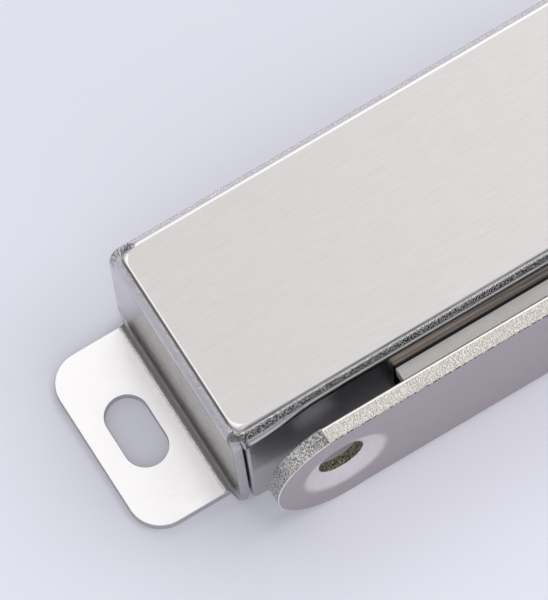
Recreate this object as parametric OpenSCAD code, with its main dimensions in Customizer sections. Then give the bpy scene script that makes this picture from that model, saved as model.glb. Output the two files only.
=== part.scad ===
// Magnetic catch with its striker, in millimetres.
// A stainless sheet is folded into an open-bottomed casing with a fixing ear at each end. A moulded holder
// inside keeps a ferrite magnet between two steel pole plates, whose noses stand out of a window in the front
// wall. A flat steel striker with round ends lies against the noses.
// The origin is the middle of the pattern of the two ear slots, on the mounting face. +X runs along the
// catch, -Y is the front with the striker, and +Z is up from the mounting face.

/* [Sheet] */
// Thickness of the stainless sheet
sheet_t = 1; // [0.8:0.1:1.3]
// Inside radius of the folds round the top
top_fold_r = 0.1; // [0.05:0.05:0.3]
// Inside radius of the fold between an end wall and its ear
ear_fold_r = 1; // [0.6:0.1:1.4]

/* [Casing] */
// Length of the casing over its two end walls
case_l = 62; // [56:1:90]
// Width of the casing from front wall to back wall
case_w = 24; // [21:0.5:32]
// Height of the casing above the mounting face
case_h = 17.2; // [16.5:0.1:24]
// Open seam at each corner, between the end wall and the edge of the long wall
seam_gap = 0.3; // [0.2:0.05:0.9]
// How far the edges of the end walls lie inside the faces of the long walls
seam_inset = 0.1; // [0.05:0.05:0.3]
// Height of metal left above a seam, at the corner of the top
seam_top = 0.5; // [0.3:0.05:0.7]
// Radius of the lower corners of the long walls
wall_corner_r = 0.7; // [0.3:0.1:1.5]
// Gap between the pole noses and the edge of the window in the front wall, at their ends and below them
window_gap = 0.25; // [0.15:0.05:0.6]
// Gap between the upper pole nose and the upper edge of the window
window_rise = 0.8; // [0.2:0.05:1.2]

/* [Ears] */
// How far an ear reaches out from the end wall
ear_reach = 9.8; // [8.5:0.1:14]
// How far each side of an ear is set in from the side of the casing
ear_inset = 1.7; // [1:0.1:3]
// Radius of the two outer corners of an ear
ear_corner_r = 3.5; // [1.5:0.1:6]
// Turn of the ear fold, in degrees, at which the sheet narrows from the wall to the ear
shoulder_turn = 45; // [20:5:70]
// Width of the screw slot, along the catch
slot_w = 4.5; // [4:0.1:5]
// Length of the screw slot from end to end, across the catch
slot_l = 8.1; // [6.5:0.1:11]
// Distance from the face of the end wall to the middle of the slot
slot_out = 5; // [4.6:0.1:5.6]

/* [Magnet and pole plates] */
// Length of the pole noses, along the catch
pole_l = 25.5; // [20:0.5:32]
// Thickness of a pole plate
pole_t = 2; // [1.5:0.1:2.5]
// How far the noses stand out from the front wall
pole_reach = 2.4; // [1.5:0.1:4]
// Extra length of a pole plate on each side of its nose, inside the casing
pole_shoulder = 2; // [1:0.1:3]
// Depth of a pole plate behind the front wall
pole_depth = 16.5; // [12:0.5:17]
// Thickness of the magnet
magnet_t = 5; // [4:0.1:6]
// How far the magnet is set back behind the front wall
magnet_set_back = 1; // [0.5:0.1:3]
// How far the magnet stops short of the back edge of the pole plates
magnet_back_short = 1; // [0.5:0.1:3]
// How far the magnet stops short of each end of the pole noses
magnet_end_short = 0.5; // [0.2:0.1:2]

/* [Holder] */
// Clearance round the holder in the casing, and round the stack and the retainer in the holder
fit_gap = 0.15; // [0.05:0.05:0.25]
// How far the holder and the retainer stay above the mounting face
holder_lift = 0.4; // [0.2:0.1:1]
// Radius of the upper edges of the holder
holder_edge_r = 0.6; // [0.4:0.1:1.2]
// Thickness of the walls and ribs round the hollows in the underside of the holder and the retainer
rib_t = 1.6; // [1:0.1:2]
// Number of hollows along each end of the holder
holder_cells_along = 1; // [1:1:3]
// Number of hollows across each end of the holder
holder_cells_across = 3; // [2:1:4]
// Solid top left above the hollows in the ends of the holder
holder_roof = 2.5; // [1.5:0.1:4]
// Number of hollows along the retainer
retainer_cells_along = 4; // [2:1:5]
// Number of hollows across the retainer
retainer_cells_across = 2; // [1:1:3]
// Depth of the hollows in the underside of the retainer
retainer_hollow = 1.4; // [0.6:0.1:1.8]

/* [Striker] */
// Length of the striker
striker_l = 58; // [50:0.5:76]
// Height of the striker
striker_h = 15.3; // [13.5:0.1:16]
// Thickness of the striker
striker_t = 1.9; // [1.6:0.1:3]
// Step at which the blanked round ends lie lower than the straight edges
end_step = 0.12; // [0.06:0.02:0.3]
// How far the straight edges run on past the middles of the round ends
edge_run_on = 1.1; // [0.6:0.1:2]
// Distance from an end of the striker to the middle of its screw hole
hole_in = 7.65; // [7:0.05:9]
// Diameter of the screw holes in the striker
hole_d = 5; // [4:0.1:5.5]
// Diameter of the countersinks at the face of the striker
sink_d = 9.2; // [8:0.1:10]
// Depth of the countersinks
sink_deep = 0.85; // [0.5:0.05:1.2]

/* [Hidden] */
$fn = 96;
// A cutting tool runs this far past the faces that it cuts
over = 1;
// Outside radius of the folds round the top
top_fold_out = top_fold_r + sheet_t;
// Outside radius of the ear fold
ear_fold_out = ear_fold_r + sheet_t;
// Inside length, width and height of the casing
inner_l = case_l - 2 * sheet_t;
inner_w = case_w - 2 * sheet_t;
inner_h = case_h - sheet_t;
// Width of the end walls and of the ears
end_wall_w = case_w - 2 * seam_inset;
ear_w = case_w - 2 * ear_inset;
// The stack of two pole plates and the magnet lies in the middle of the inside height
stack_h = 2 * pole_t + magnet_t;
stack_mid = inner_h / 2;
stack_top = stack_mid + stack_h / 2;
stack_low = stack_mid - stack_h / 2;
// Faces of the front wall and of the pole noses
front_face = -case_w / 2;
front_inside = front_face + sheet_t;
nose_face = front_face - pole_reach;
// Length of a pole plate over its shoulders, and its back edge
plate_l = pole_l + 2 * pole_shoulder;
plate_back = front_inside + pole_depth;
// Pocket for the stack in the holder
pocket_l = plate_l + 2 * fit_gap;
pocket_back = plate_back + fit_gap;
// Size of the holder
holder_l = inner_l - 2 * fit_gap;
holder_w = inner_w - 2 * fit_gap;
// Colours of the finishes
stainless = [0.84, 0.83, 0.82];
plated = [0.78, 0.77, 0.76];
satin = [0.62, 0.6, 0.62];
ferrite = [0.16, 0.16, 0.17];
moulding = [0.07, 0.07, 0.075];

// A block whose four upper edges are rounded, resting on z = 0 and mitred at its corners
module folded_block(l, w, h, r) {
  intersection() {
    rounded_top(l, w, h, r);
    rotate([0, 0, 90]) rounded_top(w, l, h, r);
  }
}

// A block along X whose two long upper edges are rounded
module rounded_top(l, w, h, r) {
  translate([-l / 2, -w / 2, 0]) cube([l, w, h - r]);
  translate([-l / 2, -w / 2 + r, 0]) cube([l, w - 2 * r, h]);
  for (side = [-1, 1])
    translate([-l / 2, side * (w / 2 - r), h - r]) rotate([0, 90, 0]) cylinder(h = l, r = r);
}

// The seam at one corner, cut through the end of the long wall
module seam(x_side, y_side) {
  seam_x = inner_l / 2 - seam_gap;
  edge_y = case_w / 2 - seam_inset;
  mirror([x_side < 0 ? 1 : 0, 0, 0]) mirror([0, y_side < 0 ? 1 : 0, 0]) {
    translate([seam_x, inner_w / 2 - over, -over]) cube([seam_gap, sheet_t + 2 * over, case_h - seam_top + over]);
    translate([seam_x, edge_y, -over]) cube([seam_gap + sheet_t + over, over, case_h - seam_top + over]);
  }
}

// What is taken off to round one lower corner of a long wall
module wall_corner(x_side, y_side) {
  edge_x = inner_l / 2 - seam_gap;
  cut_w = sheet_t + 2 * over;
  mirror([x_side < 0 ? 1 : 0, 0, 0]) mirror([0, y_side < 0 ? 1 : 0, 0])
    translate([edge_x - wall_corner_r, inner_w / 2 - over, 0]) difference() {
      translate([0, 0, -over]) cube([wall_corner_r + seam_gap / 2, cut_w, wall_corner_r + over]);
      translate([0, -over, wall_corner_r]) rotate([-90, 0, 0]) cylinder(h = cut_w + 2 * over, r = wall_corner_r);
    }
}

// A part of a fold about an axis along Y with a given width, which starts at one angle and turns by another
module fold_part(r, w, start, turn) {
  rotate([90, 0, 0]) translate([0, 0, -w / 2]) rotate([0, 0, start])
    rotate_extrude(angle = turn) translate([r, 0]) square([sheet_t, w]);
}

// A slot across the catch, through the ear
module screw_slot() {
  straight = slot_l - slot_w;
  translate([-slot_w / 2, -straight / 2, -over]) cube([slot_w, straight, sheet_t + 2 * over]);
  for (end = [-1, 1])
    translate([0, end * straight / 2, -over]) cylinder(h = sheet_t + 2 * over, d = slot_w);
}

// The ear at the -X end with the fold that joins it to the end wall
module ear() {
  wall_x = -case_l / 2;
  tip_x = wall_x - ear_reach;
  fold_x = wall_x - ear_fold_r;
  difference() {
    union() {
      translate([fold_x, 0, sheet_t + ear_fold_r]) {
        fold_part(ear_fold_r, end_wall_w, 0, -shoulder_turn);
        fold_part(ear_fold_r, ear_w, -90, 90 - shoulder_turn);
      }
      translate([tip_x + ear_corner_r, -ear_w / 2, 0]) cube([fold_x - tip_x - ear_corner_r, ear_w, sheet_t]);
      translate([tip_x, ear_corner_r - ear_w / 2, 0]) cube([ear_corner_r, ear_w - 2 * ear_corner_r, sheet_t]);
      for (side = [-1, 1])
        translate([tip_x + ear_corner_r, side * (ear_w / 2 - ear_corner_r), 0]) cylinder(h = sheet_t, r = ear_corner_r);
    }
    translate([wall_x - slot_out, 0, 0]) screw_slot();
  }
}

// The casing, folded from one sheet: top, four walls and two ears
module case() {
  color(stainless) {
    difference() {
      folded_block(case_l, case_w, case_h, top_fold_out);
      translate([0, 0, -over]) folded_block(inner_l, inner_w, inner_h + over, top_fold_r);
      for (x_side = [-1, 1]) {
        for (y_side = [-1, 1]) {
          seam(x_side, y_side);
          wall_corner(x_side, y_side);
        }
        // The end wall ends where its fold begins
        translate([x_side * (inner_l / 2 + sheet_t / 2 + over / 2), 0, 0])
          cube([sheet_t + seam_gap / 2 + over, case_w + over, 2 * (sheet_t + ear_fold_r)], center = true);
      }
      // Window for the pole noses
      translate([-pole_l / 2 - window_gap, front_face - over, stack_low - window_gap])
        cube([pole_l + 2 * window_gap, sheet_t + 2 * over, stack_h + window_gap + window_rise]);
    }
    ear();
    mirror([1, 0, 0]) ear();
  }
}

// The moulded holder: it fills the casing and leaves a pocket for the stack, open to the front and below
module holder() {
  end_l = (holder_l - pocket_l) / 2;
  color(moulding) difference() {
    translate([0, 0, holder_lift]) folded_block(holder_l, holder_w, inner_h - holder_lift, holder_edge_r);
    translate([-pocket_l / 2, -case_w, -over]) cube([pocket_l, case_w + pocket_back, stack_top + over]);
    for (side = [-1, 1])
      translate([side * (pocket_l + end_l) / 2, 0, 0])
        hollows(end_l, holder_w, inner_h - holder_roof, holder_cells_along, holder_cells_across);
  }
}

// Hollows with ribs between them, cut up into the underside of a block of a given length and width
module hollows(l, w, top, along, across) {
  cell_l = (l - rib_t * (along + 1)) / along;
  cell_w = (w - rib_t * (across + 1)) / across;
  for (i = [0 : along - 1])
    for (j = [0 : across - 1])
      translate([rib_t + i * (cell_l + rib_t) - l / 2, rib_t + j * (cell_w + rib_t) - w / 2, -over])
        cube([cell_l, cell_w, top + over]);
}

// The moulded retainer: it closes the pocket from below and carries the stack
module retainer() {
  retainer_l = pocket_l - 2 * fit_gap;
  retainer_front = front_inside + fit_gap;
  retainer_w = pocket_back - fit_gap - retainer_front;
  color(moulding) difference() {
    translate([-retainer_l / 2, retainer_front, holder_lift]) cube([retainer_l, retainer_w, stack_low - holder_lift]);
    translate([0, retainer_front + retainer_w / 2, 0])
      hollows(retainer_l, retainer_w, holder_lift + retainer_hollow, retainer_cells_along, retainer_cells_across);
  }
}

// A pole plate: the wide back stays inside the front wall and the nose stands out of the window
module pole_plate() {
  translate([-plate_l / 2, front_inside, 0]) cube([plate_l, pole_depth, pole_t]);
  translate([-pole_l / 2, nose_face, 0]) cube([pole_l, pole_reach + sheet_t + over, pole_t]);
}

module pole_plate_upper() {
  color(plated) translate([0, 0, stack_top - pole_t]) pole_plate();
}

module pole_plate_lower() {
  color(plated) translate([0, 0, stack_low]) pole_plate();
}

// The ferrite magnet between the pole plates
module magnet() {
  magnet_l = pole_l - 2 * magnet_end_short;
  magnet_w = pole_depth - magnet_set_back - magnet_back_short;
  color(ferrite) translate([-magnet_l / 2, front_inside + magnet_set_back, stack_low + pole_t])
    cube([magnet_l, magnet_w, magnet_t]);
}

// The striker: a flat bar with round ends and two countersunk screw holes, held by the pole noses
module striker() {
  end_r = striker_h / 2 - end_step;
  end_middle = striker_l / 2 - end_r;
  straight = 2 * (end_middle + edge_run_on);
  color(satin) translate([0, nose_face, stack_mid]) rotate([90, 0, 0]) difference() {
    union() {
      translate([-straight / 2, -striker_h / 2, 0]) cube([straight, striker_h, striker_t]);
      for (end = [-1, 1])
        translate([end * end_middle, 0, 0]) cylinder(h = striker_t, r = end_r);
    }
    for (end = [-1, 1])
      translate([end * (striker_l / 2 - hole_in), 0, 0]) {
        translate([0, 0, -over]) cylinder(h = striker_t + 2 * over, d = hole_d);
        translate([0, 0, striker_t - sink_deep]) cylinder(h = sink_deep, d1 = hole_d, d2 = sink_d);
      }
  }
}

case();
holder();
retainer();
pole_plate_upper();
pole_plate_lower();
magnet();
striker();
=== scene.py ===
import math

import bpy
from mathutils import Matrix, Vector
from mathutils.geometry import tessellate_polygon


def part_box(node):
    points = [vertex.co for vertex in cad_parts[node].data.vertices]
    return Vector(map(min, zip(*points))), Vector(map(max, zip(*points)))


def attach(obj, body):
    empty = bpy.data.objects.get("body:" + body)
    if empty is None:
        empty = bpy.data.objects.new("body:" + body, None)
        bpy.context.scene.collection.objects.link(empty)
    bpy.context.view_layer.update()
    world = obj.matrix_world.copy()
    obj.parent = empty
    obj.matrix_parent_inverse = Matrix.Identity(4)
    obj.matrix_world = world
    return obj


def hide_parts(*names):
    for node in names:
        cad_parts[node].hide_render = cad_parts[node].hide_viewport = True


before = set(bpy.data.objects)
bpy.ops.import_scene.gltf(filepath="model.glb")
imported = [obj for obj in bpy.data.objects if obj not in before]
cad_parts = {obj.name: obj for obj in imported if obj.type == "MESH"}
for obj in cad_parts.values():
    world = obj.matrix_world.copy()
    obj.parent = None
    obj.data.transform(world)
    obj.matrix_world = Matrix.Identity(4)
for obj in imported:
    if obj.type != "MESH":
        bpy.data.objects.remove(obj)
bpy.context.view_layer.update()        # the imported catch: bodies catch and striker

mm = 0.001
print("frame loaded:", len(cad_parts), "nodes")


# Shader helpers. Lengths inside the materials are in millimetres
def addNode(tree, kind, **settings):
    made = tree.nodes.new(kind)
    for name, value in settings.items():
        setattr(made, name, value)
    return made


def feed(tree, target, source):
    # a socket is linked, a plain value is set
    if isinstance(source, bpy.types.NodeSocket):
        tree.links.new(source, target)
    else:
        target.default_value = source


def calc(tree, operation, first, second=0.0, third=0.0):
    made = addNode(tree, "ShaderNodeMath", operation=operation)
    for place, value in enumerate((first, second, third)):
        feed(tree, made.inputs[place], value)
    return made.outputs[0]


def spread(tree, value, fromLow, fromHigh, toLow, toHigh, smooth=False):
    made = addNode(tree, "ShaderNodeMapRange", clamp=True)
    made.interpolation_type = "SMOOTHSTEP" if smooth else "LINEAR"
    for place, number in enumerate((value, fromLow, fromHigh, toLow, toHigh)):
        feed(tree, made.inputs[place], number)
    return made.outputs[0]


def blendColours(tree, share, low, high, kind="MIX"):
    made = addNode(tree, "ShaderNodeMix", data_type="RGBA", blend_type=kind)
    feed(tree, made.inputs[0], share)
    feed(tree, made.inputs[6], low)
    feed(tree, made.inputs[7], high)
    return made.outputs[2]


def rgb(red, green, blue):
    # screen values from 0 to 255 to the renderer's linear ones
    def linear(value):
        value /= 255
        return value / 12.92 if value <= 0.04045 else ((value + 0.055) / 1.055) ** 2.4
    return (linear(red), linear(green), linear(blue), 1.0)


def newGroup(name, inputs, outputs):
    group = bpy.data.node_groups.new(name, "ShaderNodeTree")
    for label, kind, value in inputs:
        made = group.interface.new_socket(label, in_out="INPUT", socket_type=kind)
        made.default_value = value
    for label in outputs:
        group.interface.new_socket(label, in_out="OUTPUT", socket_type="NodeSocketFloat")
    return group, group.nodes.new("NodeGroupInput").outputs, group.nodes.new("NodeGroupOutput").inputs


def place(tree, group, **values):
    made = addNode(tree, "ShaderNodeGroup", node_tree=group)
    for label, value in values.items():
        feed(tree, made.inputs[label], value)
    return made.outputs


def noiseAt(tree, vector, scale, detail, roughness=0.5, distortion=0.0):
    made = addNode(tree, "ShaderNodeTexNoise")
    feed(tree, made.inputs["Vector"], vector)
    feed(tree, made.inputs["Scale"], scale)
    feed(tree, made.inputs["Detail"], detail)
    feed(tree, made.inputs["Roughness"], roughness)
    feed(tree, made.inputs["Distortion"], distortion)
    return made.outputs["Fac"]


def stretched(tree, vector, scale):
    made = addNode(tree, "ShaderNodeVectorMath", operation="MULTIPLY")
    feed(tree, made.inputs[0], vector)
    feed(tree, made.inputs[1], scale)
    return made.outputs[0]


# Brushing: long thin lines along one direction, with patches where they are stronger
def makeBrushing():
    group, given, out = newGroup("brushing", [
        ("Vector", "NodeSocketVector", (0, 0, 0)),
        ("Fine", "NodeSocketVector", (0.4, 9.0, 9.0)),
        ("Coarse", "NodeSocketVector", (0.15, 2.5, 2.5)),
        ("Patches", "NodeSocketFloat", 0.12),
        ("Contrast", "NodeSocketFloat", 1.0),
    ], ["Lines", "Patch"])
    fine = noiseAt(group, stretched(group, given["Vector"], given["Fine"]), 1.0, 3.0, 0.6)
    coarse = noiseAt(group, stretched(group, given["Vector"], given["Coarse"]), 1.0, 2.0, 0.5)
    patch = noiseAt(group, given["Vector"], given["Patches"], 2.0, 0.5)
    both = calc(group, "ADD", calc(group, "MULTIPLY", fine, 0.8), calc(group, "MULTIPLY", coarse, 0.2))
    centred = calc(group, "MULTIPLY", calc(group, "SUBTRACT", both, 0.5), given["Contrast"])
    feed(group, out["Lines"], calc(group, "ADD", centred, 0.5))
    feed(group, out["Patch"], spread(group, patch, 0.3, 0.7, 0.0, 1.0, True))
    return group


# Speckle: the small bright and dark grains of strained or sheared metal
def makeSpeckle():
    group, given, out = newGroup("speckle", [
        ("Vector", "NodeSocketVector", (0, 0, 0)),
        ("Grain", "NodeSocketVector", (6.0, 6.0, 6.0)),
        ("Softness", "NodeSocketFloat", 0.2),
    ], ["Height", "Spots"])
    scaled = stretched(group, given["Vector"], given["Grain"])
    fine = noiseAt(group, scaled, 1.0, 3.0, 0.65, 0.4)
    cells = addNode(group, "ShaderNodeTexVoronoi", feature="F1")
    feed(group, cells.inputs["Vector"], scaled)
    feed(group, cells.inputs["Scale"], 0.8)
    mixed = calc(group, "ADD", calc(group, "MULTIPLY", fine, 0.7),
                 calc(group, "MULTIPLY", cells.outputs["Distance"], 0.3))
    feed(group, out["Height"], mixed)
    low = calc(group, "SUBTRACT", 0.5, given["Softness"])
    high = calc(group, "ADD", 0.5, given["Softness"])
    feed(group, out["Spots"], spread(group, mixed, low, high, 0.0, 1.0))
    return group


# Handling: faint clouds and a few hairline scratches that any bare metal picks up
def makeHandling():
    group, given, out = newGroup("handling", [
        ("Vector", "NodeSocketVector", (0, 0, 0)),
        ("Clouds", "NodeSocketFloat", 0.25),
        ("Scratches", "NodeSocketVector", (0.05, 1.6, 1.6)),
    ], ["Cloud", "Scratch"])
    cloud = noiseAt(group, given["Vector"], given["Clouds"], 3.0, 0.55, 0.6)
    line = noiseAt(group, stretched(group, given["Vector"], given["Scratches"]), 3.0, 1.0, 0.4, 0.2)
    thin = calc(group, "ABSOLUTE", calc(group, "SUBTRACT", line, 0.5))
    feed(group, out["Cloud"], spread(group, cloud, 0.25, 0.75, 0.0, 1.0, True))
    feed(group, out["Scratch"], spread(group, thin, 0.0, 0.012, 1.0, 0.0))
    return group


# Band: a mask that is one between two values, used for marks that follow an edge
def makeBand():
    group, given, out = newGroup("band", [
        ("Value", "NodeSocketFloat", 0.0),
        ("Low", "NodeSocketFloat", 0.0),
        ("High", "NodeSocketFloat", 1.0),
        ("Soft", "NodeSocketFloat", 0.05),
    ], ["Mask"])
    soft = given["Soft"]
    rises = spread(group, given["Value"], calc(group, "SUBTRACT", given["Low"], soft),
                   calc(group, "ADD", given["Low"], soft), 0.0, 1.0, True)
    falls = spread(group, given["Value"], calc(group, "SUBTRACT", given["High"], soft),
                   calc(group, "ADD", given["High"], soft), 1.0, 0.0, True)
    feed(group, out["Mask"], calc(group, "MULTIPLY", rises, falls))
    return group


brushing = makeBrushing()
speckle = makeSpeckle()
handling = makeHandling()
band = makeBand()
print("shader groups made")


def inBand(tree, value, low, high, soft):
    return place(tree, band, Value=value, Low=low, High=high, Soft=soft)["Mask"]


def beyond(tree, value, start, run):
    # zero up to the start, and one from a run further on
    return spread(tree, value, start, start + run, 0.0, 1.0)


def inverse(tree, value):
    return calc(tree, "SUBTRACT", 1.0, value)


def newMaterial(name):
    made = bpy.data.materials.new(name)
    made.use_nodes = True
    tree = made.node_tree
    shader = tree.nodes["Principled BSDF"]
    where = addNode(tree, "ShaderNodeTexCoord").outputs["Object"]
    return made, tree, shader, stretched(tree, where, (1 / mm, 1 / mm, 1 / mm))


def bump(tree, height, depth, strength=1.0, after=None):
    # depth is the real height of the relief in millimetres
    made = addNode(tree, "ShaderNodeBump")
    feed(tree, made.inputs["Height"], height)
    made.inputs["Distance"].default_value = depth * mm
    made.inputs["Strength"].default_value = strength
    if after:
        feed(tree, made.inputs["Normal"], after)
    return made.outputs[0]


def shadeBy(tree, paint, pale):
    shade = addNode(tree, "ShaderNodeCombineColor")
    for socket in shade.inputs:
        feed(tree, socket, pale)
    return blendColours(tree, 1.0, paint, shade.outputs[0], "MULTIPLY")


def axes(tree, at):
    parts = addNode(tree, "ShaderNodeSeparateXYZ")
    feed(tree, parts.inputs[0], at)
    return parts.outputs


def metal(name, colour, roughness, fine, coarse, contrast=1.0, tint=0.1, lineDepth=0.002,
          roughSpread=0.06, cloudRough=0.05, grain=None, grainDepth=0.0, grainTint=0.0, grainSoft=0.2,
          marks=None, metallic=1.0):
    made, tree, shader, at = newMaterial(name)
    lines = place(tree, brushing, Vector=at, Fine=fine, Coarse=coarse, Contrast=contrast)
    wear = place(tree, handling, Vector=at)
    dark = tuple(c * (1 - tint) for c in colour[:3]) + (1.0,)
    light = tuple(min(1.0, c * (1 + tint)) for c in colour[:3]) + (1.0,)
    paint = blendColours(tree, spread(tree, lines["Lines"], 0.25, 0.75, 0.0, 1.0), dark, light)
    rough = calc(tree, "MULTIPLY_ADD", lines["Lines"], roughSpread, roughness - roughSpread / 2)
    rough = calc(tree, "MULTIPLY_ADD", wear["Cloud"], cloudRough, rough)
    normal = bump(tree, lines["Lines"], lineDepth)
    grainShare = 1.0
    if marks:
        stain, grainShare = marks(tree, at)
        paint = blendColours(tree, 1.0, paint, stain, "MULTIPLY")
    if grain:
        grains = place(tree, speckle, Vector=at, Grain=grain, Softness=grainSoft)
        relief = calc(tree, "MULTIPLY", calc(tree, "SUBTRACT", grains["Height"], 0.45), grainShare)
        normal = bump(tree, relief, grainDepth, 1.0, normal)
        spots = calc(tree, "MULTIPLY", inverse(tree, grains["Spots"]), grainTint)
        paint = shadeBy(tree, paint, inverse(tree, calc(tree, "MULTIPLY", spots, grainShare)))
    feed(tree, shader.inputs["Base Color"], paint)
    feed(tree, shader.inputs["Roughness"], rough)
    feed(tree, shader.inputs["Normal"], normal)
    shader.inputs["Metallic"].default_value = metallic
    return made


# Where the sheet changes and where painted shade, shadows, highlights and reflections lie on it, by height
# above the mounting face and by place along the casing (mm).
# A band is given by its lower end, its upper end and its softness
foldMarks = {
    "frontFrom": -10.5, "frontRun": -0.15,
    "line": (17.08, 17.17, 0.02), "lineShade": 0.35,
    "frontLine": (15.7, 16.05, 0.06), "frontLineShade": 0.6,
    "frontStart": (17.12, 17.2, 0.6, 0.74),
    "frontGrain": (16.66, 17.04, 0.08),
    "endGrain": (15.3, 17.06, 0.1), "endShare": 0.3,
    "tornFrom": 29.3, "tornRun": 0.3, "tornGrain": (15.3, 16.95, 0.2),
    "backFrom": 10.4, "backOut": 28.0, "backRun": 0.8,
}
wallMarks = {
    "frontFrom": -11.5, "frontRun": -0.1,
    # painted reflection: the dark line of the ears' shaded tip edges on the end walls
    "earEdgeReflection": (14.6, 15.05, 0.02), "earEdgeReflectionShade": 0.5,
    "frontShade": (6.8, 8.2, 0.14, 0.5),
    "across": (-13.2, 13.2, 0.3), "strip": (12.6, 15.8, 0.12),
    # colours of the painted reflection of the pole plates' tops above the window, and where it darkens to a
    # painted shadow
    "paintedPoleReflection": rgb(196, 172, 154), "paintedPoleReflectionDark": rgb(30, 24, 20),
    "paintedGapShadow": (13.45, 13.75, 0.03, 1.0),
    "streaks": {"Fine": (0.06, 3.6, 3.6), "Coarse": (0.06, 1.8, 1.8), "Contrast": 9.0},
    "speckled": 0.1,
}
coinMarks = {"at": (21.3, 8.0), "from": 4.1, "to": 5.1, "round": rgb(198, 196, 198)}
poleMarks = {"inside": (-12.06, -12.0, 1.0, 0.03)}
white = (1.0, 1.0, 1.0, 1.0)


def markCoined(tree, at):
    # the face round the coined cones is painted darker, so that the cones show paler, a painted highlight
    # for the brighter floor they reflect; the change is a soft one
    part = axes(tree, at)
    middleX, middleZ = coinMarks["at"]
    u = calc(tree, "SUBTRACT", calc(tree, "ABSOLUTE", part["X"]), middleX)
    v = calc(tree, "SUBTRACT", part["Z"], middleZ)
    away = calc(tree, "SQRT", calc(tree, "ADD", calc(tree, "MULTIPLY", u, u), calc(tree, "MULTIPLY", v, v)))
    out = spread(tree, away, coinMarks["from"], coinMarks["to"], 0.0, 1.0, True)
    return blendColours(tree, out, white, coinMarks["round"]), 1.0


def markTorn(tree, part, front):
    # the strained metal at the front corners, where the seams start
    outX = calc(tree, "ABSOLUTE", part["X"])
    out = beyond(tree, outX, foldMarks["tornFrom"], foldMarks["tornRun"])
    deep = inBand(tree, part["Z"], *foldMarks["tornGrain"])
    return calc(tree, "MULTIPLY", calc(tree, "MULTIPLY", out, deep), front)


def markFold(tree, at):
    # a painted dark line along the brushed flat, a painted reflection of dark surroundings; painted shade
    # over the front fold and a painted dark line at its foot; and the grain of the drawn sheet below the
    # flat
    part = axes(tree, at)
    front = beyond(tree, part["Y"], foldMarks["frontFrom"], foldMarks["frontRun"])
    # painted reflection: a dark line along the flat, except on the front
    line = calc(tree, "MULTIPLY", inBand(tree, part["Z"], *foldMarks["line"]), inverse(tree, front))
    onFront = inBand(tree, part["Z"], *foldMarks["frontGrain"])
    onEnds = inBand(tree, part["Z"], *foldMarks["endGrain"])
    onEnds = calc(tree, "MULTIPLY", onEnds, foldMarks["endShare"])
    share = calc(tree, "MULTIPLY_ADD", front, calc(tree, "SUBTRACT", onFront, onEnds), onEnds)
    share = calc(tree, "MAXIMUM", share, markTorn(tree, part, front))
    pale = inverse(tree, calc(tree, "MULTIPLY", line, foldMarks["lineShade"]))
    # painted shade: a dark line at the foot of the front fold
    foot = calc(tree, "MULTIPLY", inBand(tree, part["Z"], *foldMarks["frontLine"]), front)
    pale = calc(tree, "SUBTRACT", pale, calc(tree, "MULTIPLY", foot, foldMarks["frontLineShade"]))
    # painted shade over the whole front fold, a little lighter at its upper edge
    start = spread(tree, part["Z"], *foldMarks["frontStart"])
    start = calc(tree, "MULTIPLY_ADD", front, calc(tree, "SUBTRACT", start, 1.0), 1.0)
    pale = calc(tree, "MULTIPLY", pale, start)
    # the back corners are the most strained
    back = beyond(tree, part["Y"], foldMarks["backFrom"], foldMarks["backRun"])
    ends = beyond(tree, calc(tree, "ABSOLUTE", part["X"]), foldMarks["backOut"], foldMarks["backRun"])
    share = calc(tree, "MAXIMUM", share, calc(tree, "MULTIPLY", back, ends))
    return shadeBy(tree, white, pale), share


def markWall(tree, at):
    # a painted dark line at the foot of the end folds, a painted reflection of the ears' shaded tip edges;
    # painted shade over the front wall; and above the window a painted reflection of the pole plates' tops,
    # darkening to a painted shadow along the window's top edge
    part = axes(tree, at)
    front = beyond(tree, part["Y"], wallMarks["frontFrom"], wallMarks["frontRun"])
    # painted reflection of the ears' shaded tip edges, a dark line off the front
    earEdgeReflection = calc(tree, "MULTIPLY", inBand(tree, part["Z"], *wallMarks["earEdgeReflection"]), inverse(tree, front))
    pale = inverse(tree, calc(tree, "MULTIPLY", earEdgeReflection, wallMarks["earEdgeReflectionShade"]))
    across = inBand(tree, part["X"], *wallMarks["across"])
    strip = calc(tree, "MULTIPLY", inBand(tree, part["Z"], *wallMarks["strip"]), across)
    strip = calc(tree, "MULTIPLY", strip, front)
    # painted reflection of the pole plates' tops in the strip above the window, streaked, darkening to a
    # painted shadow along the window's top edge
    streaks = place(tree, brushing, Vector=at, **wallMarks["streaks"])["Lines"]
    paintedPoleReflection = blendColours(tree, streaks, wallMarks["paintedPoleReflectionDark"], wallMarks["paintedPoleReflection"])
    paintedPoleReflection = shadeBy(tree, paintedPoleReflection, spread(tree, part["Z"], *wallMarks["paintedGapShadow"], True))
    share = calc(tree, "MAXIMUM", markTorn(tree, part, front), wallMarks["speckled"])
    # painted shade over the front wall, deeper above mid-height, where it reflects the striker's dark back
    shade = spread(tree, part["Z"], *wallMarks["frontShade"])
    pale = calc(tree, "SUBTRACT", pale, calc(tree, "MULTIPLY", front, shade))
    return blendColours(tree, strip, shadeBy(tree, white, pale), paintedPoleReflection), share


def markPole(tree, at):
    # the part of the plates inside the casing lies in the dark
    return shadeBy(tree, white, spread(tree, axes(tree, at)["Y"], *poleMarks["inside"])), 1.0


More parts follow.
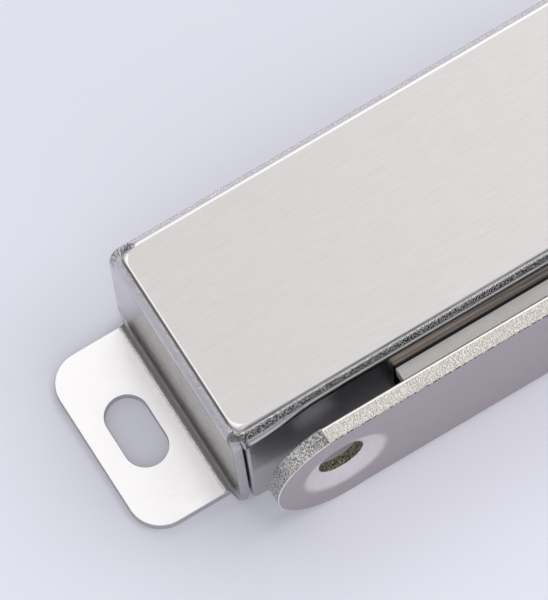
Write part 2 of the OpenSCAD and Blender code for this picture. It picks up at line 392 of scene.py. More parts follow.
# Finishes of the stainless casing
brushedTop = metal("brushedTop", rgb(206, 202, 202), 0.34, (0.4, 11, 11), (0.15, 4, 4),
                   contrast=1.3, tint=0.06, lineDepth=0.004)
foldedSteel = metal("foldedSteel", rgb(244, 242, 244), 0.2, (0.5, 6, 6), (0.2, 2, 2), tint=0.05,
                    grain=(8, 8, 8), grainDepth=0.5, grainTint=0.92, grainSoft=0.06, marks=markFold)
wallSteel = metal("wallSteel", rgb(216, 213, 212), 0.09, (3, 3, 0.6), (1, 1, 0.2), tint=0.03,
                  lineDepth=0.001, grain=(6, 6, 6), grainDepth=0.4, grainTint=0.8, grainSoft=0.1,
                  marks=markWall)
earSteel = metal("earSteel", rgb(247, 245, 246), 0.22, (2, 2, 2), (0.6, 0.6, 0.6),
                 tint=0.01, lineDepth=0.001)
cutSteel = metal("cutSteel", rgb(208, 206, 210), 0.34, (2, 2, 2), (1, 1, 1), tint=0.05,
                 grain=(6, 6, 6), grainDepth=0.06, grainTint=0.15)
insideSteel = metal("insideSteel", rgb(205, 203, 202), 0.3, (2, 2, 2), (0.6, 0.6, 0.6), tint=0.04)
# Finishes of the striker and the pole plates
satinFace = metal("satinFace", rgb(234, 228, 228), 0.38, (0.8, 3, 3), (0.3, 1, 1), tint=0.05,
                  lineDepth=0.006, grain=(3, 3, 3), grainDepth=0.03, grainTint=0.05, marks=markCoined)
# the striker's back, coloured dark as painted shade: it faces the casing across a shaded gap
paintedShadeBack = metal("paintedShadeBack", rgb(132, 128, 127), 0.4, (0.8, 3, 3), (0.3, 1, 1), tint=0.05, lineDepth=0.006)
shearedEdge = metal("shearedEdge", rgb(217, 212, 207), 0.42, (5, 0.6, 5), (2, 0.3, 2), tint=0.05,
                    lineDepth=0.01, grain=(8, 5, 8), grainDepth=0.08, grainTint=0.4, grainSoft=0.12)
brokenEdge = metal("brokenEdge", rgb(246, 243, 240), 0.25, (6, 1, 6), (2, 0.5, 2), tint=0.1,
                   lineDepth=0.03, grain=(10, 4.5, 10), grainDepth=0.4, grainTint=0.85, grainSoft=0.12)
burrEdge = metal("burrEdge", rgb(250, 247, 246), 0.3, (3, 3, 3), (1, 1, 1), tint=0.02)
lipEdge = metal("lipEdge", rgb(200, 192, 180), 0.4, (3, 3, 3), (1, 1, 1), tint=0.1,
                grain=(5, 5, 5), grainDepth=0.2, grainTint=0.97, grainSoft=0.05)
rolledEdge = metal("rolledEdge", rgb(248, 244, 238), 0.3, (1, 4, 4), (0.3, 2, 2), tint=0.03, lineDepth=0.004)
boreWall = metal("boreWall", rgb(196, 190, 166), 0.35, (4, 1, 4), (2, 0.5, 2), tint=0.12, lineDepth=0.03,
                 grain=(8, 4, 8), grainDepth=0.3, grainTint=0.85, grainSoft=0.1)
platedSteel = metal("platedSteel", rgb(250, 248, 246), 0.5, (1.5, 5, 5), (0.5, 1.5, 1.5), tint=0.02,
                    lineDepth=0.004, grain=(6, 6, 6), grainDepth=0.04, grainTint=0.12,
                    marks=markPole, metallic=0.3)
print("metal finishes made")


def dull(name, colour, roughness, grain, depth, tint):
    made, tree, shader, at = newMaterial(name)
    grains = place(tree, speckle, Vector=at, Grain=grain)
    wear = place(tree, handling, Vector=at)
    pale = tuple(min(1.0, c * (1 + tint)) for c in colour[:3]) + (1.0,)
    feed(tree, shader.inputs["Base Color"], blendColours(tree, grains["Spots"], colour, pale))
    feed(tree, shader.inputs["Roughness"], calc(tree, "MULTIPLY_ADD", wear["Cloud"], 0.1, roughness))
    feed(tree, shader.inputs["Normal"], bump(tree, grains["Height"], depth))
    return made


mouldedPlastic = dull("mouldedPlastic", rgb(58, 58, 60), 0.5, (5, 5, 5), 0.02, 0.15)
groundFerrite = dull("groundFerrite", rgb(88, 88, 90), 0.55, (3, 0.8, 3), 0.03, 0.25)


# Sheet metal: the middle surface is laid down first, then both skins and the rounded rims grow from it
def newSheet():
    return {"points": [], "normals": [], "faces": [], "index": {}, "rims": {}}


def sheetPoint(sheet, point, normal, rim=None):
    key = tuple(round(c, 4) for c in point)
    if key not in sheet["index"]:
        sheet["index"][key] = len(sheet["points"])
        sheet["points"].append(Vector(point))
        sheet["normals"].append(Vector(normal).normalized())
    if rim:
        sheet["rims"][sheet["index"][key]] = rim
    return sheet["index"][key]


def sheetFace(sheet, corners, kind):
    corners = [c for i, c in enumerate(corners) if c != corners[i - 1]]
    if len(corners) < 3:
        return
    points = [sheet["points"][c] for c in corners]
    turn = Vector((0, 0, 0))
    for i, p in enumerate(points):
        turn += points[i - 1].cross(p)
    facing = sum((sheet["normals"][c] for c in corners), Vector((0, 0, 0)))
    if turn.dot(facing) < 0:
        corners = corners[::-1]
    sheet["faces"].append((corners, kind))


def sheetStrip(sheet, rowA, rowB, kind):
    for i in range(len(rowA) - 1):
        sheetFace(sheet, [rowA[i], rowA[i + 1], rowB[i + 1], rowB[i]], kind)


def sheetFlat(sheet, loops, kind):
    chain = [c for loop in loops for c in loop]
    points = [[sheet["points"][c] for c in loop] for loop in loops]
    for three in tessellate_polygon(points):
        sheetFace(sheet, [chain[c] for c in three], kind)


def rimProfile(half, rim, steps):
    # from one skin to the other: distance out, height, and the normal's two parts
    turns = [math.pi / 2 * k / steps for k in range(steps + 1)]
    top = []
    for t in turns:
        top.append((rim * math.sin(t) - rim, half - rim + rim * math.cos(t), math.sin(t), math.cos(t)))
    return top + [(out, -height, a, -b) for out, height, a, b in reversed(top)]


def sheetSolid(sheet, thickness, rim, steps=3):
    points, normals, faces = [], [], []
    half = thickness / 2
    used = {}
    for corners, kind in sheet["faces"]:
        for i, c in enumerate(corners):
            used[(corners[i - 1], c)] = True
    rims = [(a, b) for a, b in used if (b, a) not in used]
    outward = {}
    for a, b in rims:
        along = (sheet["points"][b] - sheet["points"][a]).normalized()
        for c in (a, b):
            outward.setdefault(c, []).append(along.cross(sheet["normals"][c]).normalized())
    chains = {}
    for c, (point, normal) in enumerate(zip(sheet["points"], sheet["normals"])):
        if c in outward:
            one, two = outward[c][0], outward[c][-1]
            away = (one + two).normalized()
            reach = 1 / max(0.5, away.dot(one))
            chains[c] = []
            for out, height, a, b in rimProfile(half, sheet["rims"].get(c, rim), steps):
                chains[c].append(len(points))
                points.append(point + away * out * reach + normal * height)
                normals.append((away * a + normal * b).normalized())
        else:
            chains[c] = [len(points), len(points) + 1]
            points += [point + normal * half, point - normal * half]
            normals += [normal, -normal]
    for corners, kind in sheet["faces"]:
        faces.append(([chains[c][0] for c in corners], kind))
        faces.append(([chains[c][-1] for c in reversed(corners)], "inside"))
    for a, b in rims:
        for k in range(2 * steps + 1):
            faces.append(([chains[b][k], chains[a][k], chains[a][k + 1], chains[b][k + 1]], "rim"))
    return points, normals, faces


def faceOutward(points, normals, faces):
    # each face is turned to the side to which the normals of its corners point
    turned = []
    for corners, kind in faces:
        around = Vector((0, 0, 0))
        facing = Vector((0, 0, 0))
        for i, c in enumerate(corners):
            around += points[corners[i - 1]].cross(points[c])
            facing += normals[c]
        turned.append((corners[::-1] if around.dot(facing) < 0 else corners, kind))
    return turned


def makePiece(name, solid, finishes, body, slotName, *nodes):
    points, normals, faces = solid
    faces = faceOutward(points, normals, faces)
    mesh = bpy.data.meshes.new(name)
    mesh.from_pydata([p * mm for p in points], [], [corners for corners, kind in faces])
    kinds = list(finishes)
    for kind in kinds:
        mesh.materials.append(finishes[kind])
    mesh.polygons.foreach_set("material_index", [kinds.index(kind) for corners, kind in faces])
    mesh.polygons.foreach_set("use_smooth", [True] * len(faces))
    mesh.update()
    mesh.normals_split_custom_set_from_vertices(normals)
    piece = bpy.data.objects.new(name, mesh)
    bpy.context.scene.collection.objects.link(piece)
    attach(piece, body)
    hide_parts(*nodes)
    print(name, "made with", len(faces), "faces")
    return piece


def lerp(low, high, share):
    return low + (high - low) * share


def ease(share):
    share = min(1.0, max(0.0, share))
    return share * share * (3 - 2 * share)


# The casing, folded from one sheet. Lengths in millimetres, turns in degrees
casing = {
    "sheet": 1.0,
    "foldInsides": {-1: 0.35, 1: 0.1},    # inside radius of the long folds, front and back
    "endInside": 0.1,
    "earFoldInside": 1.0,
    "earReach": 9.8,
    "endHalf": 11.9,          # half width of the end walls
    "seamFlare": 0.5,         # height over which they reach it, below the fold
    "earHalf": 10.3,          # half width of the ears
    "earCorner": 3.5,
    "slotWidth": 4.5,
    "slotLength": 8.1,
    "slotOut": 5.0,
    "longEdge": 29.7,         # where the long walls end at the seams
    "closedEdge": 29.97,      # and where they end above the open part of the seam
    "closedLow": 14.75,
    "closedRim": 0.12,
    "bulge": 0.5,             # how far the top of the front wall swells out at its corners
    "bulgeFrom": 20.0, "bulgeTo": 28.5,
    "bulgeLow": 15.0,
    "endFoldDeep": 1.6,       # the end folds run further down than they reach out
    "seamTurns": {-1: 54, 1: 90},   # turn of the top fold at which a seam starts, front and back
    "seamHalves": {-1: 10.95, 1: 11.4},   # half width of the end walls at the seam's start
    "flareTurn": 104,         # turn at which the curve to their full width would end
    "seamRim": 0.35,          # rounding of the long walls' edges at the seams
    "flatCorner": 1.6,        # corner radius of the brushed flat
    "tightCorners": {-1: 0.3, 1: 0.05},   # corner radius where the seam starts
    "lowerCorner": 0.7,
    "shoulders": {-1: 52, 1: 34},   # turn of the ear fold at which the sheet narrows, front and back
    "shoulderSpread": 17,
    "windowHalf": 13.0,
    "windowLow": 3.35,
    "windowHigh": 13.4,
    "rim": 0.075,
    "longColumns": (0, 5, 9, 13, 18, 22, 23.5, 25, 26.5, 28),
    "endColumns": (9, 6, 3, 0),
    "wallColumns": (-9, -6, -3, 0, 3, 6, 9),
    "foldTurns": (0, 10.5, 21, 31.5, 42, 54, 63, 72, 81, 90),
}


def makeCasing(size):
    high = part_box("case")[1]
    halfLong = high.x / mm - size["earReach"]
    halfWide = high.y / mm
    top = high.z / mm
    half = size["sheet"] / 2
    endBend = size["endInside"] + half
    flatX = halfLong - size["endInside"] - size["sheet"]
    bends, flatY, foldZ = {}, {}, {}
    for sy, inside in size["foldInsides"].items():
        bends[sy] = inside + half
        flatY[sy] = halfWide - inside - size["sheet"]
        foldZ[sy] = top - size["sheet"] - inside
    sheet = newSheet()
    cornerSteps = 12

    endDeep = size["endFoldDeep"]
    endZ = top - half - endDeep

    def swell(x, sy):
        if sy > 0:
            return 0.0
        return size["bulge"] * ease((abs(x) - size["bulgeFrom"]) / (size["bulgeTo"] - size["bulgeFrom"]))

    def cornerPath(turn, share, sy):
        # a point of the corner between the last long column and the last end column
        t = math.radians(turn)
        grown = min(1.0, math.sin(t) / math.sin(math.radians(size["seamTurns"][sy])))
        reachX, reachY = flatX + endBend * math.sin(t), flatY[sy] + bends[sy] * math.sin(t)
        radius = lerp(size["flatCorner"], size["tightCorners"][sy], grown)
        startX = lerp(flatX - size["flatCorner"], size["closedEdge"], grown)
        endY = lerp(flatY[sy] - size["flatCorner"], size["seamHalves"][sy], grown)
        before = reachX - radius - startX
        round90 = radius * math.pi / 2
        after = reachY - radius - endY
        run = share * (before + round90 + after)
        z = lerp(foldZ[sy] + bends[sy] * math.cos(t), endZ + endDeep * math.cos(t), ease(share))
        out = swell(size["bulgeTo"], sy) * math.sin(t) ** 2 * (1 - ease(share))
        if run <= before:
            return Vector((startX + run, reachY + out, z))
        if run <= before + round90:
            a = (run - before) / radius
            x = reachX - radius + radius * math.sin(a)
            return Vector((x, reachY - radius + radius * math.cos(a) + out, z))
        return Vector((reachX, reachY - radius - (run - before - round90) + out, z))

    def cornerNormal(turn, share, sy):
        d = 0.02
        if turn < 0.5:
            return Vector((0, 0, 1))
        across = cornerPath(turn, min(1, share + d), sy) - cornerPath(turn, max(0, share - d), sy)
        down = cornerPath(turn + d, share, sy) - cornerPath(turn - d, share, sy)
        return across.cross(down).normalized() * -1

    def longRow(turn, sx, sy):
        t = math.radians(turn)
        bend = bends[sy]
        row = []
        for x in size["longColumns"]:
            out = swell(x, sy)
            y = flatY[sy] + bend * math.sin(t) + out * math.sin(t) ** 2
            normal = (0, sy * bend * math.sin(t), math.cos(t) * (bend + 2 * out * math.sin(t)))
            row.append(sheetPoint(sheet, (sx * x, sy * y, foldZ[sy] + bend * math.cos(t)), normal))
        edge = cornerPath(turn, 0, sy)
        out = swell(size["bulgeTo"], sy)
        normal = (0, sy * bend * math.sin(t), math.cos(t) * (bend + 2 * out * math.sin(t)))
        row.append(sheetPoint(sheet, (sx * edge.x, sy * edge.y, edge.z), normal,
                              size["closedRim"] if turn > size["seamTurns"][sy] else None))
        return row

    def swellRow(z, sx, sy):
        # the front wall draws in again below its swollen corners
        deep = foldZ[sy] - size["bulgeLow"]
        down = (foldZ[sy] - z) / deep
        row = []
        for x in size["longColumns"] + (size["closedEdge"],):
            out = swell(x, sy)
            y = halfWide - half + out * (1 - ease(down))
            normal = (0, sy, -out * 6 * down * (1 - down) / deep)
            row.append(sheetPoint(sheet, (sx * x, sy * y, z), normal,
                                  size["closedRim"] if x == size["closedEdge"] else None))
        return row

    def cornerRow(turn, sx, sy):
        row = []
        for k in range(1, cornerSteps):
            p = cornerPath(turn, k / cornerSteps, sy)
            n = cornerNormal(turn, k / cornerSteps, sy)
            if n.z < 0:
                n = -n
            row.append(sheetPoint(sheet, (sx * p.x, sy * p.y, p.z), (sx * n.x, sy * n.y, n.z)))
        return row

    def endEdge(turn, sy):
        begin = size["seamTurns"][sy]
        if turn <= begin:
            return cornerPath(turn, 1, sy).y
        share = math.sin(math.pi / 2 * (turn - begin) / (size["flareTurn"] - begin))
        return lerp(size["seamHalves"][sy], size["endHalf"], share)

    def endRow(turn, sx, sy):
        t = math.radians(turn)
        x, z = flatX + endBend * math.sin(t), endZ + endDeep * math.cos(t)
        normal = (sx * endDeep * math.sin(t), 0, endBend * math.cos(t))
        columns = (endEdge(turn, sy),) + size["endColumns"]
        return [sheetPoint(sheet, (sx * x, sy * y, z), normal) for y in columns]

    turns = size["foldTurns"]
    flatLoop = []
    for sx, sy in ((1, 1), (-1, 1), (-1, -1), (1, -1)):
        full = [longRow(t, sx, sy) + cornerRow(t, sx, sy) + endRow(t, sx, sy)
                for t in turns if t <= size["seamTurns"][sy]]
        for rowA, rowB in zip(full, full[1:]):
            sheetStrip(sheet, rowA, rowB, "fold")
        below = [t for t in turns if t >= size["seamTurns"][sy]]
        for t, u in zip(below, below[1:]):
            sheetStrip(sheet, longRow(t, sx, sy), longRow(u, sx, sy), "fold")
            sheetStrip(sheet, endRow(t, sx, sy), endRow(u, sx, sy), "fold")
        flatLoop += full[0] if sx * sy < 0 else full[0][::-1]
    loop = [c for i, c in enumerate(flatLoop) if c != flatLoop[i - 1]]
    sheetFace(sheet, loop, "top")

    # long walls, each one flat with rounded lower corners, and the window in the front one
    def longWall(sy):
        y = sy * (halfWide - half)
        normal = (0, sy, 0)
        edge, r = size["longEdge"], size["lowerCorner"]
        side = []
        for sx in (-1, 1):
            rows = [longRow(90, sx, sy)]
            rows += [swellRow(lerp(foldZ[sy], size["bulgeLow"], k / 6), sx, sy) for k in range(1, 7)]
            for rowA, rowB in zip(rows, rows[1:]):
                sheetStrip(sheet, rowA, rowB, "wall")
            row = list(rows[-1])
            corner = (sx * size["closedEdge"], y, size["closedLow"])
            row.append(sheetPoint(sheet, corner, normal, size["closedRim"]))
            down = [(edge, z) for z in (size["closedLow"] - 0.2, 12, 8, 4)]
            for k in range(7):
                a = math.pi / 2 * k / 6
                down.append((edge - r + r * math.cos(a), r - r * math.sin(a)))
            row += [sheetPoint(sheet, (sx * x, y, z), normal, size["seamRim"]) for x, z in down]
            row += [sheetPoint(sheet, (sx * x, y, 0), normal) for x in (20, 10, 0)]
            side.append(row)
        outline = side[0] + side[1][::-1]
        outline = [c for i, c in enumerate(outline) if c != outline[i - 1]]
        loops = [outline]
        if sy < 0:
            w, zLow, zHigh = size["windowHalf"], size["windowLow"], size["windowHigh"]
            corners = ((-w, zLow), (w, zLow), (w, zHigh), (-w, zHigh))
            loops.append([sheetPoint(sheet, (x, y, z), normal) for x, z in corners])
        sheetFlat(sheet, loops, "wall")

    longWall(-1)
    longWall(1)

    # end walls, ear folds and ears
    earBend = size["earFoldInside"] + half
    earFoldZ = size["sheet"] + size["earFoldInside"]

    def wallRow(z, sx):
        # the end walls widen from the seam's start to their full width
        x = halfLong - half
        edges = []
        for sy in (-1, 1):
            share = math.sin(math.pi / 2 * min(1.0, max(0.0, (endZ - z) / size["seamFlare"])))
            edges.append(sy * lerp(endEdge(90, sy), size["endHalf"], share))
        columns = (edges[0],) + size["wallColumns"] + (edges[1],)
        return [sheetPoint(sheet, (sx * x, y, z), (sx, 0, 0)) for y in columns]

    def earFoldRow(turn, sx):
        t = math.radians(turn)
        x = halfLong + size["earFoldInside"] - earBend * math.cos(t)
        z = earFoldZ - earBend * math.sin(t)
        normal = (sx * math.cos(t), 0, math.sin(t))
        edges = {}
        for sy in (-1, 1):
            begin = size["shoulders"][sy] - size["shoulderSpread"]
            share = ease((turn - begin) / (2 * size["shoulderSpread"]))
            edges[sy] = lerp(size["endHalf"], size["earHalf"], share)
        columns = (-edges[-1],) + size["wallColumns"] + (edges[1],)
        return [sheetPoint(sheet, (sx * x, y, z), normal) for y in columns]

    for sx in (-1, 1):
        front = endRow(90, sx, -1)
        back = endRow(90, sx, 1)
        rows = [front + back[::-1][1:]]
        heights = [endZ - size["seamFlare"] * k / 4 for k in range(1, 5)] + [12, 9, 6, 4, 2.6]
        rows += [wallRow(z, sx) for z in heights]
        rows += [earFoldRow(turn, sx) for turn in range(0, 91, 6)]
        for i in range(len(rows) - 1):
            sheetStrip(sheet, rows[i], rows[i + 1], "wall" if i < len(heights) else "earFold")
        # the flat of the ear with its slot
        tip = halfLong + size["earReach"]
        r = size["earCorner"]
        z = half
        outline = list(rows[-1])
        for sy in (1, -1):
            arc = []
            for k in range(13):
                a = math.pi / 2 * k / 12
                arc.append((tip - r + r * math.sin(a), sy * (size["earHalf"] - r + r * math.cos(a))))
            if sy < 0:
                arc = arc[::-1]
            outline += [sheetPoint(sheet, (sx * x, y, z), (0, 0, 1)) for x, y in arc]
        slot = []
        reach = (size["slotLength"] - size["slotWidth"]) / 2
        for k in range(48):
            a = 2 * math.pi * (k + 0.5) / 48
            shift = reach if math.sin(a) > 0 else -reach
            slot.append(sheetPoint(sheet, (
                sx * (halfLong + size["slotOut"] + size["slotWidth"] / 2 * math.cos(a)),
                size["slotWidth"] / 2 * math.sin(a) + shift, z), (0, 0, 1)))
        sheetFlat(sheet, [outline, slot], "ear")
    return sheetSolid(sheet, size["sheet"], size["rim"])


casingFinishes = {"top": brushedTop, "fold": foldedSteel, "wall": wallSteel, "earFold": wallSteel,
                  "ear": earSteel, "rim": cutSteel, "inside": insideSteel}
makePiece("casing_shell", makeCasing(casing), casingFinishes, "catch", "stainless", "case")


# Flat plates: an outline with a section down its edge, and round holes with a section of their own
edgeSteps = 3
holeSteps = 72


def edgeSection(thickness, front, back, steps=edgeSteps):
    rows = []
    for k in range(steps + 1):
        t = math.pi / 2 * k / steps
        rows.append((front * (math.sin(t) - 1), front * (1 - math.cos(t)), math.sin(t), -math.cos(t)))
    for k in range(steps + 1):
        t = math.pi / 2 * k / steps
        depth = thickness - back * (1 - math.sin(t))
        rows.append((back * (math.cos(t) - 1), depth, math.cos(t), math.sin(t)))
    return rows


def plateSolid(outline, sections, holes, toSpace, faceKinds, rowKinds={}):
    # outline: points with their outward normals and a kind; sections: one list of rows for each point;
    # rowKinds: the kind of a rounded row, by the kind of the outline and the side
    points, normals, faces = [], [], []

    def put(u, v, depth, nu, nv, nd):
        points.append(toSpace(u, v, depth))
        normals.append((toSpace(nu, nv, nd) - toSpace(0, 0, 0)).normalized())
        return len(points) - 1

    def wallBetween(loops, kinds):
        for j in range(len(loops) - 1):
            for i in range(len(loops[j])):
                n = (i + 1) % len(loops[j])
                faces.append(([loops[j][i], loops[j][n], loops[j + 1][n], loops[j + 1][i]], kinds(i, j)))

    loops = []
    for j in range(len(sections[0])):
        loop = []
        for (u, v, nu, nv, kind), section in zip(outline, sections):
            out, depth, a, b = section[j]
            loop.append(put(u + nu * out, v + nv * out, depth, nu * a, nv * a, b))
        loops.append(loop)

    def outlineKind(i, j):
        side = "front" if j < edgeSteps else "back" if j > edgeSteps else ""
        return rowKinds.get((outline[i][4], side), outline[i][4])

    wallBetween(loops, outlineKind)
    front, back = [loops[0]], [loops[-1]]
    for (cu, cv), section in holes:
        rings = []
        for radius, depth, a, b, kind in section:
            ring = []
            for k in range(holeSteps):
                t = 2 * math.pi * k / holeSteps
                ring.append(put(cu + radius * math.cos(t), cv + radius * math.sin(t), depth,
                                a * math.cos(t), a * math.sin(t), b))
            rings.append(ring)
        wallBetween(rings, lambda i, j: section[j][4])
        front.append(rings[0])
        back.append(rings[-1])
    for group, kind in ((front, faceKinds[0]), (back, faceKinds[1])):
        chain = [c for loop in group for c in loop]
        for three in tessellate_polygon([[points[c] for c in loop] for loop in group]):
            faces.append(([chain[c] for c in three], kind))
    return points, normals, faces


# The striker: a bar with round ends and two coined countersinks
striker = {
    "stepAt": 22.6,         # where the upper sheared edge steps down to the blanked round end
    "endRadius": 7.74,
    "endDrop": 0.08,        # how far the round ends were blanked too low
    "holeAt": 21.35,
    "holeRadius": 2.5,
    "sinkRadius": 4.65,
    "sinkDeep": 0.85,
    "frontEdge": 0.08,      # rounding along the sheared edges
    "frontEnd": 0.07,       # rounding round the ends
    "backEdge": 0.4,        # the rolled-over side of the shear, towards the casing
    "backEnd": 0.15,
}


def makeStriker(size):
    low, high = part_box("striker")
    halfLong, halfHigh = high.x / mm, (high.z - low.z) / 2 / mm
    thick = (high.y - low.y) / mm
    middle = (high.z + low.z) / 2 / mm
    r, drop = size["endRadius"], size["endDrop"]
    centre = halfLong - r
    meets = centre - math.sqrt(r * r - (halfHigh - drop) ** 2)   # where the round end crosses the lower edge

    def quarter(sy):
        ends = size["stepAt"] if sy > 0 else meets
        part = [(x, sy * halfHigh, 0, sy, "sheared") for x in (0, 6, 12, 18, ends)]
        start = math.asin((ends + 0.08 - centre) / r)
        if sy > 0:
            part.append((ends + 0.05, (halfHigh + r * math.cos(start) - drop) / 2, 0.5, 0.87, "broken"))
        for k in range(25):
            a = lerp(start, math.pi / 2, k / 24)
            across, down = math.sin(a), sy * math.cos(a)
            part.append((centre + r * across, r * down - drop, across, down, "broken"))
        return part

    loop = []
    for sx, sy in ((1, 1), (1, -1), (-1, -1), (-1, 1)):
        part = [(sx * u, v, sx * nu, nv, kind) for u, v, nu, nv, kind in quarter(sy)]
        loop += part if sx * sy > 0 else part[::-1]
    outline = [p for i, p in enumerate(loop) if (Vector(p[:2]) - Vector(loop[i - 1][:2])).length > 1e-4]
    sections = []
    for u, v, nu, nv, kind in outline:
        ends = "Edge" if kind == "sheared" else "End"
        sections.append(edgeSection(thick, size["front" + ends], size["back" + ends]))
    r, sink, deep = size["holeRadius"], size["sinkRadius"], size["sinkDeep"]
    slope = math.atan2(sink - r, deep)
    a, b = -math.cos(slope), -math.sin(slope)
    hole = [(sink + 0.7, 0, 0, -1, "face"), (sink + 0.35, 0.012, b * 0.08, -1, "face"),
            (sink, 0.06, b * 0.22, -1, "face"), (sink - 0.35, 0.15, b * 0.38, -1, "face"),
            (lerp(sink, r, 0.4), deep * 0.4, a, b, "face"), (lerp(sink, r, 0.7), deep * 0.7, a, b, "face"),
            (r + 0.12, deep - 0.05, a, b, "face"), (r + 0.02, deep - 0.005, -0.8, -0.5, "bore"),
            (r, deep + 0.06, -1, 0, "bore"), (r, thick - 0.1, -1, 0, "bore"),
            (r + 0.03, thick - 0.03, -0.7, 0.7, "bore"), (r + 0.1, thick, 0, 1, "bore")]

    def toSpace(u, v, depth):
        return Vector((u, low.y / mm + depth, middle + v))

    holes = [((side * size["holeAt"], 0), hole) for side in (-1, 1)]
    rowKinds = {("broken", "front"): "burr", ("sheared", "front"): "lip", ("sheared", "back"): "rolled"}
    return plateSolid(outline, sections, holes, toSpace, ("face", "back"), rowKinds)


strikerFinishes = {"face": satinFace, "back": paintedShadeBack, "sheared": shearedEdge, "broken": brokenEdge,
                   "burr": burrEdge, "lip": lipEdge, "rolled": rolledEdge, "bore": boreWall}
makePiece("striker_bar", makeStriker(striker), strikerFinishes, "striker", "striker_steel", "striker")


# The pole plates: T-shaped, with the nose out of the window
polePlate = {
    "noseHalf": 12.75,
    "wallInside": -11.0,    # the shoulders stop against the inside of the front wall
    "corner": 0.25,
    "edge": 0.12,
}


def makePolePlate(size, node):
    low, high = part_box(node)
    thick = (high.z - low.z) / mm
    wide, front, back = high.x / mm, low.y / mm, high.y / mm
    nose, inside = size["noseHalf"], size["wallInside"]
    shape = [(nose, front), (nose, inside), (wide, inside), (wide, back)]
    shape += [(-x, y) for x, y in reversed(shape)]
    outline = []
    for i, (x, y) in enumerate(shape):
        here, before, after = Vector((x, y)), Vector(shape[i - 1]), Vector(shape[(i + 1) % len(shape)])
        inward, onward = (here - before).normalized(), (after - here).normalized()
        n1, n2 = Vector((inward.y, -inward.x)), Vector((onward.y, -onward.x))
        inner = inward.x * onward.y - inward.y * onward.x < 0
        if inner:
            n = (n1 + n2).normalized()
            outline.append((x, y, n.x * math.sqrt(2), n.y * math.sqrt(2), "edge"))
            continue
        centre = here - (n1 + n2) * size["corner"]
        for k in range(5):
            t = math.pi / 2 * k / 4
            n = n1 * math.cos(t) + n2 * math.sin(t)
            p = centre + n * size["corner"]
            outline.append((p.x, p.y, n.x, n.y, "edge"))
    sections = [edgeSection(thick, size["edge"], size["edge"]) for p in outline]

    def toSpace(u, v, depth):
        return Vector((u, v, low.z / mm + depth))

    return plateSolid(outline, sections, [], toSpace, ("face", "back"))


poleFinishes = {"face": platedSteel, "back": platedSteel, "edge": platedSteel}
for node in ("pole_plate_upper", "pole_plate_lower"):
    makePiece(node + "_dressed", makePolePlate(polePlate, node), poleFinishes, "catch", "plated_steel", node)

for node, finish in (("holder", mouldedPlastic), ("retainer", mouldedPlastic), ("magnet", groundFerrite)):
    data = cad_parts[node].data
    data.materials.clear()
    data.materials.append(finish)


# The floor under the catch: part of its brightness is its own, so that shadows stay light. Its colour and
# its own light are painted lighter towards the front, a painted light gradient
floor = {"size": 1600, "colour": rgb(222, 222, 233), "ownLight": 0.18, "diffuse": rgb(213, 213, 224),
         "toFront": (40.0, -50.0, 0.94, 1.03), "clouds": (0.3, 0.7, 0.98, 1.02)}


def makeFloor(size):
    h = size["size"] / 2 * mm
    mesh = bpy.data.meshes.new("floor")
    mesh.from_pydata([(-h, -h, 0), (h, -h, 0), (h, h, 0), (-h, h, 0)], [], [(0, 1, 2, 3)])
    made, tree, shader, at = newMaterial("paleTable")
    cloud = noiseAt(tree, at, 0.02, 2.0)
    # painted light: the floor grows lighter towards the front
    toFront = spread(tree, axes(tree, at)["Y"], *size["toFront"])
    uneven = spread(tree, cloud, *size["clouds"])
    glow = shadeBy(tree, size["colour"], calc(tree, "MULTIPLY", toFront, uneven))
    seen = addNode(tree, "ShaderNodeLightPath").outputs
    looks = calc(tree, "MAXIMUM", seen["Is Camera Ray"], seen["Is Glossy Ray"])
    looks = calc(tree, "MAXIMUM", looks, seen["Is Transmission Ray"])
    feed(tree, shader.inputs["Base Color"], shadeBy(tree, size["diffuse"], toFront))
    feed(tree, shader.inputs["Emission Color"], glow)
    feed(tree, shader.inputs["Emission Strength"], calc(tree, "MULTIPLY", looks, size["ownLight"]))
    shader.inputs["Roughness"].default_value = 0.9
    shader.inputs["Specular IOR Level"].default_value = 0.0
    mesh.materials.append(made)
    piece = bpy.data.objects.new("floor", mesh)
    bpy.context.scene.collection.objects.link(piece)


makeFloor(floor)
print("floor made")


# Light: a bright tent above grey walls, with a dark gap overhead and one to the left
studio = {
    "tent": (1.05, 1.05, 1.05, 1.0),
    "walls": (0.42, 0.42, 0.45, 1.0),
    "wallsTop": (0.3, 0.42),
    # each gap: its shade, and the directions that it fills, by their parts
    "gaps": {
        "overhead": {"shade": 0.10, "X": (-0.35, 0.45), "Y": (-0.34, 0.0), "Z": (0.5, 2.0)},
        "left": {"shade": 0.19, "X": (-2.0, -0.27), "Y": (-0.1, 0.75), "Z": (-0.1, 2.0)},
    },
    "gapSoft": 0.1,
    "boxes": {
        "backBox": {"size": 400, "at": (450, 350, 600), "power": 0.9},
        "frontBox": {"size": 400, "at": (420, -120, 560), "power": 1.3},
    },
}


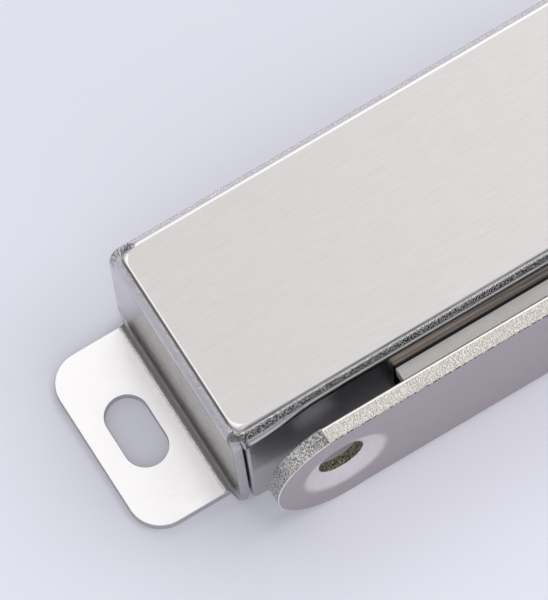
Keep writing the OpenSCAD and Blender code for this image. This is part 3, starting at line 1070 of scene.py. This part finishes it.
def makeLight(size):
    world = bpy.data.worlds.new("studio")
    bpy.context.scene.world = world
    world.use_nodes = True
    tree = world.node_tree
    toward = axes(tree, addNode(tree, "ShaderNodeTexCoord").outputs["Generated"])
    high = spread(tree, toward["Z"], *size["wallsTop"], 0.0, 1.0, True)
    sky = blendColours(tree, high, size["walls"], size["tent"])
    for gap in size["gaps"].values():
        share = 1.0
        for axis in "XYZ":
            side = inBand(tree, toward[axis], *gap[axis], size["gapSoft"])
            share = calc(tree, "MULTIPLY", side, share)
        sky = blendColours(tree, share, sky, (gap["shade"], gap["shade"], gap["shade"], 1.0))
    feed(tree, tree.nodes["Background"].inputs["Color"], sky)
    for name, box in size["boxes"].items():
        lamp = bpy.data.lights.new(name, "AREA")
        lamp.shape = "SQUARE"
        lamp.size = box["size"] * mm
        lamp.energy = box["power"]
        stand = bpy.data.objects.new(name, lamp)
        stand.location = Vector(box["at"]) * mm
        stand.rotation_euler = (-stand.location).to_track_quat("-Z", "Y").to_euler()
        bpy.context.scene.collection.objects.link(stand)


makeLight(studio)
print("light made")


# The camera stands in front, to the left and high up, and leans a little
cameraSet = {
    "azimuth": -22.485, "elevation": 69.261, "roll": -9.214,
    "distance": 1334.5,
    "lookAt": (-18.274, 2.460, 6.902),
    "lens": 814.13,
}


def makeCamera(size):
    a, e, r = (math.radians(size[k]) for k in ("azimuth", "elevation", "roll"))
    back = Vector((math.sin(a) * math.cos(e), -math.cos(a) * math.cos(e), math.sin(e)))
    level = Vector((math.cos(a), math.sin(a), 0))
    above = back.cross(level)
    right = level * math.cos(r) + above * math.sin(r)
    up = above * math.cos(r) - level * math.sin(r)
    data = bpy.data.cameras.new("camera")
    data.lens = size["lens"]
    data.clip_end = 20
    made = bpy.data.objects.new("camera", data)
    turn = Matrix((right, up, back)).transposed().to_4x4()
    made.matrix_world = Matrix.Translation((Vector(size["lookAt"]) + back * size["distance"]) * mm) @ turn
    bpy.context.scene.collection.objects.link(made)
    bpy.context.scene.camera = made


makeCamera(cameraSet)
bpy.context.scene.view_settings.view_transform = "Standard"
print("camera made")
